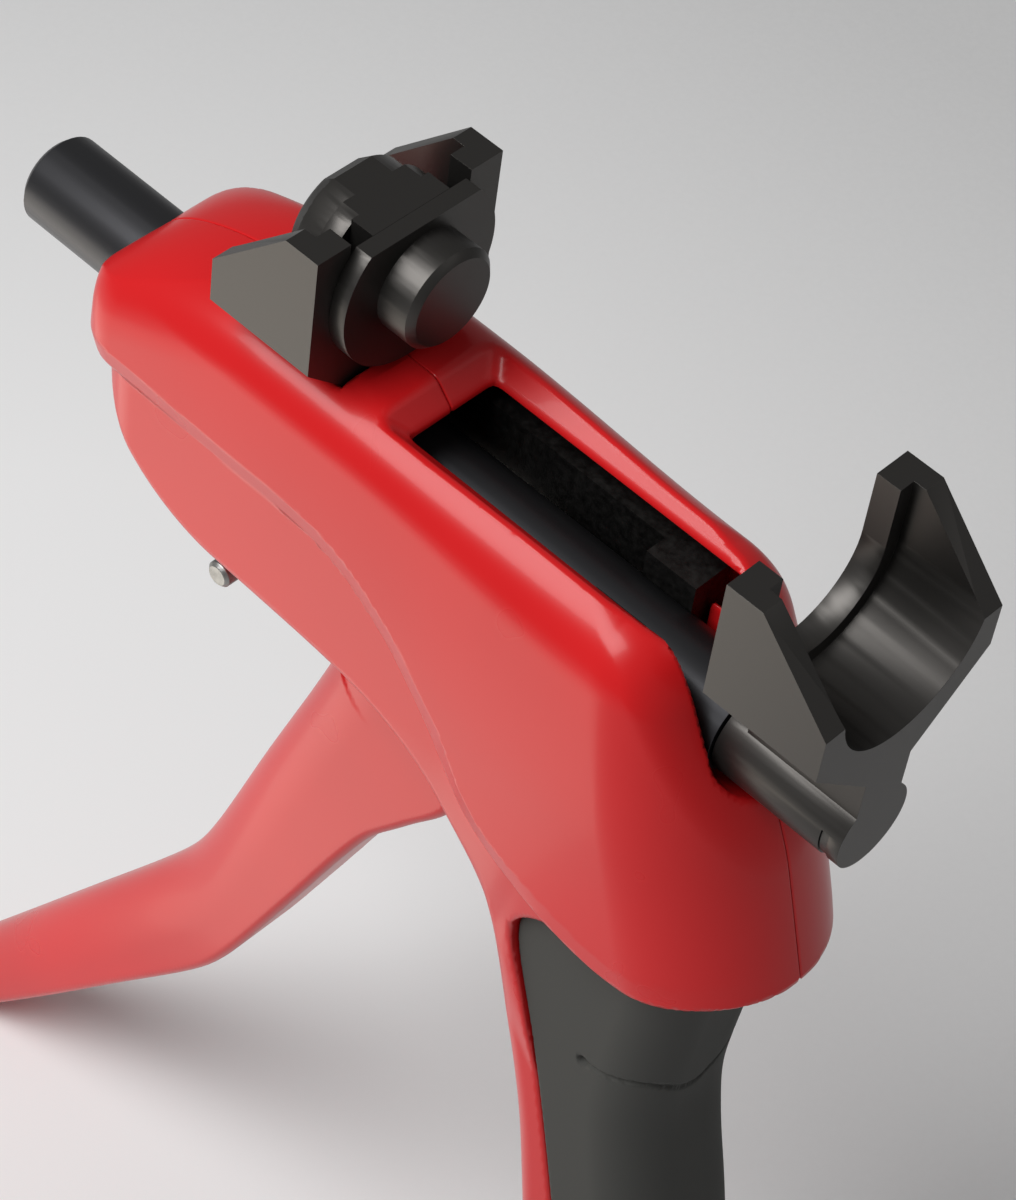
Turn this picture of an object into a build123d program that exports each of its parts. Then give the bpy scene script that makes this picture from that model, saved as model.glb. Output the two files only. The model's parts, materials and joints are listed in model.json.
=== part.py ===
from build123d import *
import os
from math import atan2, cos, radians, sin, tan

# Axial press tool, in mm. X is the press axis and points from the fixed jaw to the moving jaw,
# Z is up. The origin is where the boss of the insert leaves its flange.

# Fits
run_gap = 0.05
seat_gap = 0.1
side_gap = 0.3
free_gap = 0.5

# Press line
axis_drop = 39.0
open_gap = 80.0

# Forks
fork_half = 20.0
fork_top = 12.5
fork_flank = 11.5
fork_crest = 7.0
fork_depth = 22.2
neck_half = 5.2
neck_drop = 25.0
throat_r = 13.0
throat_lip = 4.6
relief_r = 16.0

# Insert of the fixed jaw
flange_r = 16.5
flange_t = 3.3
flange_flat = 11.5
boss_r = 9.3
boss_len = 7.2
spool_half = 8.3
collar_t = 3.6
collar_r = 13.3
hump_t = 4.6
hump_r = 12.2
hump_end = 2.4
hump_slope = 40.0

# Rod
rod_r = 8.5
rod_tail = 83.8
rod_chamfer = 1.2
base_lead = 4.0
base_r = 8.0
base_slit = 0.4
base_floor = 1.2
spigot_r = 5.0
groove_r = 3.6
clip_t = 1.4
clip_set = 2.4
clip_r = 7.7
tooth_pitch = 4.0
tooth_depth = 2.2
tooth_land = 0.7
tooth_count = 22
rack_start = -20.0

# Chassis
cheek_in = 10.0
cheek_t = 4.0
cheek_top = 27.0
cheek_low = 61.5
cheek_knee = 52.0
block_len = 10.5
block_half_h = 13.0
rear_block_x = -41.75
front_block_x = 53.0
bush_t = 3.0
wiper_t = 2.4
wiper_len = 3.0
wiper_set = 6.0
seat_z = -21.5
bridge_gap = 0.5
jaw_screw_r = 2.5
jaw_screw_head_r = 4.5
jaw_screw_x = 6.5
jaw_screw_tip = 4.3

# Lever and its pivot
pivot_x = 20.0
pivot_z = -65.0
pin_r = 4.0
bush_wall = 1.6
hub_r = 11.5
arm_half = 6.0
ear_drop = 5.4
ear_run = 8.0
circlip_t = 1.0
circlip_rim = 2.0
pin_tail = 0.6
lever_lean = 22.0
lever_bend = 13.0
lever_root = 14.0
lever_reach = 128.3
lever_tail = 132.0
lever_half = 9.0
lever_root_thick = 32.0
lever_thick = 22.4
lever_end_thick = 20.0
lever_round = 5.0
tang_half = 4.0
tang_thick = 14.0
tang_end = 70.0
rivet_r = 3.0
rivet_spots = (38.0, 58.0)
rivet_cover = 2.5
squeeze = 28.0

# Pawls
crank = 12.5
pawl_half = 2.8
pawl_hub_r = 3.6
pawl_pin_r = 1.8
ear_r = 5.0
tooth_clear = 1.3
hold_x = -13.0
hold_z = -56.0
hold_tip = 12.0
tine_half = 4.8
tine_t = 3.0
tine_low = -54.6

# Release: a stem with a cross bar to pull and a head pin over the tines of the holding pawl
release_x = -30.0
release_r = 2.3
release_bar_z = -89.5
release_bar_r = 2.6
release_bar_half = 9.5
release_head_r = 1.2
release_wall = 0.6
release_seat_z = -66.5
release_seat_r = 4.8
plate_t = 2.0

# Springs
spring_wire = 0.35
spring_turns = 5
lever_spring_wire = 0.45
lever_spring_turns = 2
lever_spring_leg = 12.0

# Housing
wall = 2.5
upper_half = 21.5
lower_half = upper_half - 2.0
deck_half = upper_half - 3.0
flank_z = -42.5
shoulder_r = 6.5
top_z = -17.5
rear_x = -58.0
rear_round = 8.0
rear_arc_x = -30.0
rear_brow_x = -55.0
rear_brow_z = -28.3
front_arc_x = 59.0
front_arc_r = 12.5
front_slope = 60.0
scoop_top_x = 70.4
scoop_x = 71.5
scoop_z = -38.0
nose_x = 87.6
nose_z = -53.8
nose_tip_x = 97.5
nose_tip_z = -80.5
nose_base_z = -84.0
nose_base_x = 93.0
sag_x = 60.0
sag_mid_x = 44.0
sag_mid_z = -78.5
dip_x = 35.0
dip_z = -67.3
dip_mid_x = 18.0
dip_mid_z = -50.9
crease_x = -5.0
crease_z = -41.8
lower_top_z = -34.0
low_rear_x = -56.0
low_round = 13.0
belly_z = -72.0
belly_turn = 36.0
belly_flat_x = 0.0
heel_x = 50.0
heel_z = -108.0
heel_top_x = 53.5
heel_half = 11.0
taper_x = 25.0
slot_rear_x = 10.0
slot_half = 9.4
slot_skirt = 23.0
trough_r = 9.6
opening_rear_x = -4.0
opening_front_x = 43.0
opening_z = -68.0

# Grip
sleeve_t = 3.0
grip_end_z = -255.0
grip_round = 11.0
zone_x = 54.0
zone_front_x = 120.0
spine_spots = ((86.0, grip_end_z), (69.0, -170.0), (62.0, -144.0), (51.6, -106.0))

# Shell screws: X, Z and half width of the shell there
screw_r = 2.0
screw_head_r = 3.6
screw_head_t = 2.2
screw_sink = 3.4
screw_boss_r = 4.0
screw_thread = 8.0
screw_spots = (
    (-42.0, -57.5, lower_half),
    (-10.0, -66.5, lower_half),
    (42.0, -59.0, upper_half),
    (75.0, -68.0, upper_half),
    (66.0, -140.0, 12.0),
    (80.0, -205.0, 12.0),
)

# Grip sections: level, rear and front end, half width
grip_ovals = (
    (-78.0, 46.0, 88.0, 17.0),
    (-118.0, 44.5, 82.5, 15.5),
    (-146.0, 49.5, 83.5, 15.0),
    (-190.0, 58.0, 93.5, 15.3),
    (grip_end_z, 72.0, 110.0, 16.5),
)

# Derived places
rod_z = -axis_drop
cheek_out = cheek_in + cheek_t
bush_r = rod_r + run_gap + bush_t
flare = (fork_half - neck_half) / (neck_drop - fork_flank)
shoulder_x = open_gap - base_lead
jaw_front = open_gap + fork_depth
bore_end = jaw_front - base_floor
clip_x = jaw_front - clip_set - clip_t
tooth_floor = rod_z - rod_r - tooth_clear
pivot = Vector(pivot_x, 0, pivot_z)
half_squeeze = radians(squeeze / 2)
crank_x = pivot_x + crank * sin(half_squeeze)
crank_z = pivot_z + crank * cos(half_squeeze)
hub_bush_r = pin_r + run_gap + bush_wall
pawl_slot_r = crank - pawl_hub_r - side_gap


def fork(face_x, way, low_z):
    """Fork with its working face at face_x, its gusset on the side that way points to."""
    low_half = max(neck_half, fork_half - (-fork_flank - low_z) * flare)
    with BuildPart() as blank:
        with BuildSketch(Plane.YZ.offset(face_x)):
            with BuildLine():
                if low_half > neck_half:
                    side = [(fork_half, fork_top), (fork_half, -fork_flank), (low_half, low_z)]
                else:
                    side = [
                        (fork_half, fork_top),
                        (fork_half, -fork_flank),
                        (neck_half, -neck_drop),
                        (neck_half, low_z),
                    ]
                Polyline(*side, *[(-y, z) for y, z in reversed(side)], close=True)
            make_face()
        extrude(amount=way * fork_depth)
        for radius, start in ((throat_r, 0), (relief_r, throat_lip)):
            with BuildSketch(Plane.YZ.offset(face_x + way * start)):
                Circle(radius)
                with Locations((0, fork_top)):
                    Rectangle(2 * radius, 2 * fork_top)
            extrude(amount=way * (fork_depth - start), mode=Mode.SUBTRACT)
        with BuildSketch(Plane.XZ):
            knee = fork_depth - fork_crest
            with BuildLine():
                Polyline(
                    (face_x + way * (fork_crest - 1), fork_top + 1),
                    (face_x + way * (fork_depth + 1), fork_top - knee - 1),
                    (face_x + way * (fork_depth + 1), fork_top + 1),
                    close=True,
                )
            make_face()
        extrude(amount=fork_half, both=True, mode=Mode.SUBTRACT)
    return blank.part


def coil(x, y, low_z, high_z, radius, wire):
    """Upright compression spring between two levels, wire centre at the given radius."""
    height = high_z - low_z - 2 * wire
    with BuildPart() as spring:
        with BuildLine():
            turns = Helix(
                pitch=height / spring_turns,
                height=height,
                radius=radius,
                center=(x, y, low_z + wire),
            )
        with BuildSketch(Plane(origin=turns @ 0, z_dir=turns % 0)):
            Circle(wire)
        sweep(is_frenet=True)
    return spring.part


def cross_pin(x, z, radius, half):
    """Plain pin across the tool."""
    with BuildPart() as pin:
        with BuildSketch(Plane.XZ):
            with Locations((x, z)):
                Circle(radius)
        extrude(amount=half, both=True)
    return pin.part


def block(x0, x1, y0, y1, z0, z1):
    """Box between two corners."""
    with BuildPart() as piece:
        with Locations(((x0 + x1) / 2, (y0 + y1) / 2, (z0 + z1) / 2)):
            Box(x1 - x0, y1 - y0, z1 - z0)
    return piece.part


def rod_line(x0, x1, radius):
    """Cylinder on the axis of the rod between two stations."""
    with BuildPart() as piece:
        with BuildSketch(Plane.YZ.offset(x0)):
            with Locations((0, rod_z)):
                Circle(radius)
        extrude(amount=x1 - x0)
    return piece.part


# Moving jaw: fork, neck and slotted base on the end of the rod
with BuildPart() as moving_jaw:
    add(fork(open_gap, 1, rod_z))
    add(rod_line(shoulder_x + base_slit, jaw_front, base_r))
    add(rod_line(shoulder_x, bore_end, spigot_r + run_gap), mode=Mode.SUBTRACT)
    clip_slot = block(
        clip_x - seat_gap,
        clip_x + clip_t + seat_gap,
        -base_r,
        base_r,
        rod_z - base_r,
        rod_z + groove_r / 2 + seat_gap,
    )
    add(clip_slot, mode=Mode.SUBTRACT)
moving_jaw.part.label = "moving_jaw"

with BuildPart() as jaw_clip:
    with BuildSketch(Plane.YZ.offset(clip_x)):
        with Locations((0, rod_z)):
            Circle(clip_r)
            Circle(groove_r + run_gap, mode=Mode.SUBTRACT)
        with Locations((0, rod_z + groove_r / 2 + clip_r)):
            Rectangle(2 * clip_r, 2 * clip_r, mode=Mode.SUBTRACT)
    extrude(amount=clip_t)
jaw_clip.part.label = "jaw_clip"

# Rod with its spigot, clip groove and rack
with BuildPart() as press_rod:
    add(rod_line(-rod_tail, shoulder_x, rod_r))
    chamfer(faces().sort_by(Axis.X)[0].edges(), rod_chamfer)
    add(rod_line(shoulder_x, bore_end - seat_gap, spigot_r))
    with BuildSketch(Plane.YZ.offset(clip_x - seat_gap)):
        with Locations((0, rod_z)):
            Circle(spigot_r)
            Circle(groove_r, mode=Mode.SUBTRACT)
    extrude(amount=clip_t + 2 * seat_gap, mode=Mode.SUBTRACT)
    with BuildSketch(Plane.XZ):
        with Locations((rack_start, rod_z - rod_r)):
            with GridLocations(tooth_pitch, 0, tooth_count, 1, align=(Align.MIN, Align.MIN)):
                Polygon(
                    (0, -tooth_depth),
                    (0, tooth_depth),
                    (tooth_pitch - tooth_land, 0),
                    (tooth_pitch - tooth_land, -tooth_depth),
                    align=None,
                )
    extrude(amount=rod_r, both=True, mode=Mode.SUBTRACT)
press_rod.part.label = "press_rod"

# Fixed jaw: the same fork turned round, cut off at its seat
jaw_screw_xs = (-flange_t - jaw_screw_x, -flange_t - fork_depth + jaw_screw_x)
jaw_screw_top = seat_z + jaw_screw_tip
bridge_low = rod_z + rod_r + bridge_gap
with BuildPart() as fixed_jaw:
    add(fork(-flange_t, -1, seat_z))
    for x in jaw_screw_xs:
        with Locations((x, 0, seat_z)):
            Cylinder(
                jaw_screw_r,
                jaw_screw_tip,
                align=(Align.CENTER, Align.CENTER, Align.MIN),
                mode=Mode.SUBTRACT,
            )
fixed_jaw.part.label = "fixed_jaw"

with BuildPart() as jaw_screws:
    for x in jaw_screw_xs:
        with Locations((x, 0, bridge_low)):
            Cylinder(
                jaw_screw_r,
                jaw_screw_top - bridge_low,
                align=(Align.CENTER, Align.CENTER, Align.MIN),
            )
            Cone(
                jaw_screw_head_r,
                jaw_screw_r,
                jaw_screw_head_r - jaw_screw_r,
                align=(Align.CENTER, Align.CENTER, Align.MIN),
            )
jaw_screws.part.label = "jaw_screws"

# Insert: flange and boss in front, spool neck in the lip of the throat, collar and hump behind
def flat_disc(x, radius, depth, slope=0):
    """Disc of the insert behind a station, cut flat on top."""
    with BuildPart() as disc:
        with BuildSketch(Plane(origin=(x, 0, 0), x_dir=(0, -1, 0), z_dir=(-1, 0, 0))):
            Circle(radius)
            with Locations((0, flange_flat + flange_r)):
                Rectangle(2 * flange_r, 2 * flange_r, mode=Mode.SUBTRACT)
        extrude(amount=depth, taper=slope)
    return disc.part


collar_front = -flange_t - throat_lip - seat_gap
collar_rear = collar_front - collar_t
with BuildPart() as jaw_insert:
    with BuildSketch(Plane.YZ):
        Circle(boss_r)
    extrude(amount=boss_len)
    chamfer(faces().sort_by(Axis.X)[-1].edges(), rod_chamfer)
    add(flat_disc(0, flange_r, flange_t - run_gap))
    with BuildSketch(Plane.YZ.offset(-flange_t)):
        Circle(throat_r - seat_gap)
        with Locations((0, flange_r)):
            Rectangle(2 * flange_r, 2 * flange_r, mode=Mode.SUBTRACT)
        with Locations((0, flange_flat / 2)):
            Rectangle(2 * spool_half, flange_flat)
    extrude(amount=-(throat_lip + seat_gap))
    with BuildSketch(Plane.YZ.offset(-(flange_t - run_gap))):
        Circle(spool_half)
    extrude(amount=-run_gap)
    add(flat_disc(collar_front, collar_r, collar_t))
    add(flat_disc(collar_rear, hump_r, hump_t))
    add(flat_disc(collar_rear - hump_t, hump_r, hump_end, hump_slope))
jaw_insert.part.label = "jaw_insert"

# Guides of the rod
rear_block = (rear_block_x - block_len / 2, rear_block_x + block_len / 2)
front_block = (front_block_x - block_len / 2, front_block_x + block_len / 2)
with BuildPart() as rear_bush:
    add(rod_line(*rear_block, bush_r))
    add(rod_line(*rear_block, rod_r + run_gap), mode=Mode.SUBTRACT)
rear_bush.part.label = "rear_bush"

mouth_half = neck_half + free_gap
with BuildPart() as front_bush:
    add(rod_line(*front_block, bush_r))
    add(rod_line(*front_block, rod_r + run_gap), mode=Mode.SUBTRACT)
    mouth = block(*front_block, -mouth_half, mouth_half, rod_z, rod_z + 2 * bush_r)
    add(mouth, mode=Mode.SUBTRACT)
front_bush.part.label = "front_bush"

wiper_x = rear_x + wiper_set
with BuildPart() as rod_wiper:
    add(rod_line(wiper_x, wiper_x + wiper_len, rod_r + run_gap + wiper_t))
    add(rod_line(wiper_x, wiper_x + wiper_len, rod_r + run_gap), mode=Mode.SUBTRACT)
rod_wiper.part.label = "rod_wiper"

# Chassis: two cheeks, two guide blocks and the bridge under the fixed jaw
bridge = (-flange_t - fork_depth - plate_t, -flange_t + plate_t)
ear_low = pivot_z - ear_drop
with BuildPart() as chassis:
    for way in (-1, 1):
        with BuildSketch(Plane.XZ.offset(way * cheek_in)):
            with BuildLine():
                Polyline(
                    (rear_block[0], -cheek_top),
                    (front_block[1], -cheek_top),
                    (front_block[1], -cheek_low),
                    (pivot_x + ear_run + ear_drop, -cheek_low),
                    (pivot_x + ear_run, ear_low),
                    (pivot_x - ear_run, ear_low),
                    (pivot_x - 2 * ear_run, -cheek_low),
                    (release_x, -cheek_low),
                    (rear_block[1], -cheek_knee),
                    (rear_block[0], -cheek_knee),
                    close=True,
                )
            make_face()
        extrude(amount=way * cheek_t)
    low_z = rod_z - block_half_h
    rear_top = rod_z + block_half_h
    add(block(*rear_block, -cheek_out, cheek_out, low_z, rear_top))
    add(block(*front_block, -cheek_out, cheek_out, low_z, -cheek_top))
    add(block(*bridge, -cheek_out, cheek_out, bridge_low, seat_z))
    for span in (rear_block, front_block):
        add(rod_line(*span, bush_r), mode=Mode.SUBTRACT)
    mouth = block(*front_block, -mouth_half, mouth_half, rod_z, rod_z + 2 * bush_r)
    add(mouth, mode=Mode.SUBTRACT)
    add(cross_pin(pivot_x, pivot_z, pin_r, cheek_out), mode=Mode.SUBTRACT)
    add(cross_pin(hold_x, hold_z, pawl_pin_r, cheek_out), mode=Mode.SUBTRACT)
    x, z, half = screw_spots[2]
    add(cross_pin(x, z, screw_boss_r + seat_gap, cheek_out), mode=Mode.SUBTRACT)
    add(jaw_screws.part, mode=Mode.SUBTRACT)
chassis.part.label = "chassis"

# Lever pivot
with BuildPart() as lever_pin:
    pin_half = cheek_out + circlip_t + 2 * seat_gap + pin_tail
    add(cross_pin(pivot_x, pivot_z, pin_r, pin_half))
    for way in (-1, 1):
        with BuildSketch(Plane.XZ.offset(way * (cheek_out + seat_gap))):
            with Locations((pivot_x, pivot_z)):
                Circle(pin_r)
                Circle(pin_r - pin_tail, mode=Mode.SUBTRACT)
        extrude(amount=way * circlip_t, mode=Mode.SUBTRACT)
lever_pin.part.label = "lever_pin"

with BuildPart() as lever_circlips:
    for way in (-1, 1):
        with BuildSketch(Plane.XZ.offset(way * (cheek_out + seat_gap))):
            with Locations((pivot_x, pivot_z)):
                Circle(pin_r + circlip_rim)
                Circle(pin_r - pin_tail, mode=Mode.SUBTRACT)
            with Locations((pivot_x, pivot_z - pin_r)):
                Rectangle(pin_r, 2 * pin_r, mode=Mode.SUBTRACT)
        extrude(amount=way * circlip_t)
lever_circlips.part.label = "lever_circlips"

with BuildPart() as lever_bush:
    add(cross_pin(pivot_x, pivot_z, hub_bush_r, cheek_in - side_gap))
    add(cross_pin(pivot_x, pivot_z, pin_r + run_gap, cheek_in), mode=Mode.SUBTRACT)
lever_bush.part.label = "lever_bush"

# Lever: directions along and across its two straight lengths
lean = radians(lever_lean)
kick = radians(lever_lean + lever_bend)
along = Vector(-sin(lean), 0, -cos(lean))
across = Vector(-cos(lean), 0, sin(lean))
along_tail = Vector(-sin(kick), 0, -cos(kick))
across_tail = Vector(-cos(kick), 0, sin(kick))
mitre = (across + across_tail).normalized() * (lever_thick / 2 / cos(radians(lever_bend / 2)))
root = pivot + along * lever_root
elbow = pivot + along * lever_reach
tail = elbow + along_tail * lever_tail
lever_plane = Plane(origin=pivot, x_dir=along, z_dir=(0, -1, 0))
rivet_plane = lever_plane.offset(-lever_half)
rivet_len = 2 * lever_half - rivet_cover


def xz(point):
    """Side-view coordinates of a point."""
    return (point.X, point.Z)


with BuildPart() as lever:
    with BuildSketch(Plane.XZ):
        with BuildLine():
            Polyline(
                xz(root + across * lever_root_thick / 2),
                xz(elbow + mitre),
                xz(tail + across_tail * lever_end_thick / 2),
                xz(tail - across_tail * lever_end_thick / 2),
                xz(elbow - mitre),
                xz(root - across * lever_root_thick / 2),
                close=True,
            )
        make_face()
        bends = vertices().sort_by_distance(xz(elbow))[:2]
        fillet(bends, lever_thick * 2)
        fillet(vertices().sort_by_distance(xz(tail))[:2], lever_end_thick / 3)
    extrude(amount=lever_half, both=True)
    rims = edges().filter_by(lambda e: abs(abs(e.center().Y) - lever_half) < 0.01)
    rims = rims.filter_by(lambda e: (e.center() - root).length > lever_thick / 4)
    fillet(rims, lever_round)
    with BuildSketch(lever_plane):
        with Locations((lever_root, 0)):
            pocket_len = tang_end - lever_root + seat_gap
            pocket_thick = tang_thick + 2 * seat_gap
            Rectangle(2 * pocket_len, pocket_thick)
    extrude(amount=tang_half + seat_gap, both=True, mode=Mode.SUBTRACT)
    with BuildSketch(rivet_plane):
        with Locations(*[(spot, 0) for spot in rivet_spots]):
            Circle(rivet_r)
    extrude(amount=rivet_len, mode=Mode.SUBTRACT)
lever.part.label = "lever"

with BuildPart() as lever_rivets:
    with BuildSketch(rivet_plane):
        with Locations(*[(spot, 0) for spot in rivet_spots]):
            Circle(rivet_r)
    extrude(amount=rivet_len)
lever_rivets.part.label = "lever_rivets"

# Steel arm: hub on the bush, tang in the lever, two ears that carry the drive pawl
spring_x = crank_x + pawl_hub_r + 1.2
spring_r = 1.5
pocket_low = pivot_z + (pawl_slot_r**2 - (spring_x - pivot_x) ** 2) ** 0.5
with BuildPart() as lever_arm:
    with BuildSketch(lever_plane):
        with Locations((tang_end / 2, 0)):
            Rectangle(tang_end, tang_thick)
    extrude(amount=tang_half, both=True)
    with BuildSketch(Plane.XZ):
        with Locations((pivot_x, pivot_z)):
            Circle(hub_r)
        with Locations((crank_x, crank_z)):
            Circle(ear_r)
    extrude(amount=arm_half, both=True)
    with BuildSketch(Plane.XZ):
        with Locations((pivot_x, pivot_z + hub_r)):
            Rectangle(4 * hub_r, 2 * hub_r)
        with Locations((pivot_x, pivot_z)):
            Circle(pawl_slot_r, mode=Mode.SUBTRACT)
    extrude(amount=pawl_half + side_gap, both=True, mode=Mode.SUBTRACT)
    add(cross_pin(pivot_x, pivot_z, hub_bush_r, arm_half), mode=Mode.SUBTRACT)
    add(cross_pin(crank_x, crank_z, pawl_pin_r, arm_half), mode=Mode.SUBTRACT)
    with Locations((spring_x, 0, pocket_low)):
        Cylinder(
            spring_r + spring_wire + seat_gap,
            hub_r,
            align=(Align.CENTER, Align.CENTER, Align.MIN),
            mode=Mode.SUBTRACT,
        )
    with BuildSketch(lever_plane):
        with Locations(*[(spot, 0) for spot in rivet_spots]):
            Circle(rivet_r)
    extrude(amount=tang_half, both=True, mode=Mode.SUBTRACT)
lever_arm.part.label = "lever_arm"

with BuildPart() as lever_spring:
    spring_mean = hub_bush_r + lever_spring_wire + side_gap
    spring_pitch = 2 * lever_spring_wire + seat_gap
    with BuildLine() as lever_spring_path:
        turns = Helix(
            pitch=spring_pitch,
            height=spring_pitch * lever_spring_turns,
            radius=spring_mean,
            center=(pivot_x, arm_half + side_gap + lever_spring_wire, pivot_z),
            direction=(0, 1, 0),
        )
        first_leg = Line(turns @ 0 - (turns % 0) * lever_spring_leg, turns @ 0)
        Line(turns @ 1, turns @ 1 + (turns % 1) * lever_spring_leg)
    with BuildSketch(Plane(origin=first_leg @ 0, z_dir=first_leg % 0)):
        Circle(lever_spring_wire)
    sweep(path=lever_spring_path.line, is_frenet=True)
lever_spring.part.label = "lever_spring"

# Drive pawl, held just under the rack
pawl_high = tooth_floor
with BuildPart() as drive_pawl:
    with BuildSketch(Plane.XZ):
        with Locations((crank_x, crank_z)):
            Circle(pawl_hub_r)
        with BuildLine():
            Polyline(
                (crank_x + 2, crank_z + 2.5),
                (crank_x - 5, pawl_high),
                (crank_x - 7, pawl_high),
                (crank_x - 8, pawl_high - 2),
                (crank_x - 2.5, crank_z - 2.5),
                close=True,
            )
        make_face()
        with BuildLine():
            Polyline(
                (crank_x, crank_z + 3),
                (spring_x + spring_r + 1, crank_z + 1.5),
                (spring_x + spring_r + 1, crank_z - 1.5),
                (crank_x, crank_z - 1.5),
                close=True,
            )
        make_face()
        with Locations((crank_x, crank_z)):
            Circle(pawl_pin_r + run_gap, mode=Mode.SUBTRACT)
    extrude(amount=pawl_half, both=True)
drive_pawl.part.label = "drive_pawl"

drive_pawl_pin = cross_pin(crank_x, crank_z, pawl_pin_r, arm_half)
drive_pawl_pin.label = "drive_pawl_pin"

drive_pawl_spring = coil(spring_x, 0, pocket_low, crank_z - 1.5, spring_r, spring_wire)
drive_pawl_spring.label = "drive_pawl_spring"

# Holding pawl: its nose points to the rear, two tines reach past the stem of the release
hold_nose_x = hold_x - hold_tip
tine_x = release_x - release_r - tine_t / 2
tine_root_x = hold_nose_x + 2 * tine_t
stem_gap_x = release_x + release_r + 3 * free_gap
with BuildPart() as holding_pawl:
    with BuildSketch(Plane.XZ):
        with Locations((hold_x, hold_z)):
            Circle(pawl_hub_r)
        with BuildLine():
            Polyline(
                (hold_x + 2, hold_z + 2.5),
                (hold_nose_x + 2, pawl_high),
                (hold_nose_x, pawl_high),
                (hold_nose_x, tine_low),
                (hold_x - 2, hold_z - 2.5),
                close=True,
            )
        make_face()
    extrude(amount=pawl_half, both=True)
    add(block(tine_x, tine_root_x, -tine_half, tine_half, tine_low, tine_low + tine_t))
    stem_gap = pawl_half + free_gap / 5
    add(
        block(tine_x, stem_gap_x, -stem_gap, stem_gap, tine_low, tine_low + tine_t),
        mode=Mode.SUBTRACT,
    )
    add(cross_pin(hold_x, hold_z, pawl_pin_r + run_gap, tine_half), mode=Mode.SUBTRACT)
holding_pawl.part.label = "holding_pawl"

holding_pawl_pin = cross_pin(hold_x, hold_z, pawl_pin_r, cheek_out)
holding_pawl_pin.label = "holding_pawl_pin"

hold_spring_r = pawl_half + spring_wire + free_gap
holding_pawl_spring = coil(release_x, 0, release_seat_z, tine_low, hold_spring_r, spring_wire)
holding_pawl_spring.label = "holding_pawl_spring"

# Release stem, its cross bar and its head pin
head_z = tine_low + tine_t + side_gap + release_head_r
stem_top = head_z + release_head_r + release_wall
with BuildPart() as release_stem:
    with BuildSketch(Plane.XY.offset(release_bar_z)):
        with Locations((release_x, 0)):
            Circle(release_r)
    extrude(amount=stem_top - release_bar_z)
    with BuildSketch(Plane.XZ):
        with Locations((release_x, release_bar_z)):
            Circle(release_bar_r + 2 * release_wall)
    extrude(amount=release_r + release_wall, both=True)
    add(cross_pin(release_x, release_bar_z, release_bar_r, release_bar_half), mode=Mode.SUBTRACT)
    add(cross_pin(release_x, head_z, release_head_r, tine_half), mode=Mode.SUBTRACT)
release_stem.part.label = "release_stem"

with BuildPart() as release_bar:
    add(cross_pin(release_x, release_bar_z, release_bar_r, release_bar_half))
    chamfer(edges().filter_by(GeomType.CIRCLE), release_bar_r / 4)
release_bar.part.label = "release_bar"

release_head = cross_pin(release_x, head_z, release_head_r, tine_half)
release_head.label = "release_head"


def upper_body(inset):
    """Upper housing with every wall moved in by inset: cross section, side outline and nose."""
    half = upper_half - inset
    rear_tilt = 2 * atan2(top_z - rear_brow_z, rear_arc_x - rear_brow_x)
    rear_drop_z = rear_brow_z - (rear_brow_x - rear_x) * tan(rear_tilt)
    front_tilt = radians(front_slope)
    front_end = (
        front_arc_x + front_arc_r * sin(front_tilt),
        top_z - front_arc_r * (1 - cos(front_tilt)),
    )
    scoop_top_z = front_end[1] - (scoop_top_x - front_end[0]) * tan(front_tilt)
    with BuildPart() as body:
        with BuildSketch(Plane.YZ):
            with BuildLine():
                Polyline(
                    (-upper_half, 2 * nose_base_z),
                    (-upper_half, flank_z),
                    (-deck_half, top_z),
                    (deck_half, top_z),
                    (upper_half, flank_z),
                    (upper_half, 2 * nose_base_z),
                    close=True,
                )
            make_face()
            shoulders = vertices().group_by(Axis.Y)[-1]
            if inset:
                chamfer(shoulders, shoulder_r / 2)
                offset(amount=-inset, kind=Kind.INTERSECTION)
            else:
                fillet(shoulders, shoulder_r)
        extrude(amount=3 * nose_tip_x, both=True)
        with BuildSketch(Plane.XZ):
            with BuildLine():
                top = Line((rear_arc_x, top_z), (front_arc_x, top_z))
                brow = TangentArc(top @ 0, (rear_brow_x, rear_brow_z), tangent=(-1, 0))
                TangentArc(top @ 1, front_end, tangent=(1, 0))
                Polyline(
                    front_end,
                    (scoop_top_x, scoop_top_z),
                    (scoop_x, scoop_z),
                    (nose_x, nose_z),
                    (nose_tip_x, nose_tip_z),
                    (nose_base_x, nose_base_z),
                    (sag_x, nose_base_z),
                )
                ThreePointArc((sag_x, nose_base_z), (sag_mid_x, sag_mid_z), (dip_x, dip_z))
                ThreePointArc((dip_x, dip_z), (dip_mid_x, dip_mid_z), (crease_x, crease_z))
                Polyline((crease_x, crease_z), (rear_x, crease_z), (rear_x, rear_drop_z), brow @ 1)
            make_face()
            if inset:
                offset(amount=-inset)
        extrude(amount=upper_half + wall, both=True, mode=Mode.INTERSECT)
        slope = (nose_tip_x - nose_x) / (nose_z - nose_tip_z)
        apex = nose_x - (top_z - nose_z) * slope - inset
        with BuildSketch(Plane.XY.offset(top_z)):
            with Locations((apex - half, 0)):
                Circle(half)
                with Locations((-2 * nose_tip_x, 0)):
                    Rectangle(4 * nose_tip_x, 2 * half)
        extrude(amount=2 * (top_z - nose_base_z), dir=(slope, 0, -1), mode=Mode.INTERSECT)
        with BuildSketch(Plane.XY):
            with Locations((rear_x + inset, 0)):
                Rectangle(2 * nose_tip_x, 2 * half, align=(Align.MIN, Align.CENTER))
            fillet(vertices().group_by(Axis.X)[0], rear_round - inset)
        extrude(amount=2 * nose_base_z, mode=Mode.INTERSECT)
    return body.part


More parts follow.
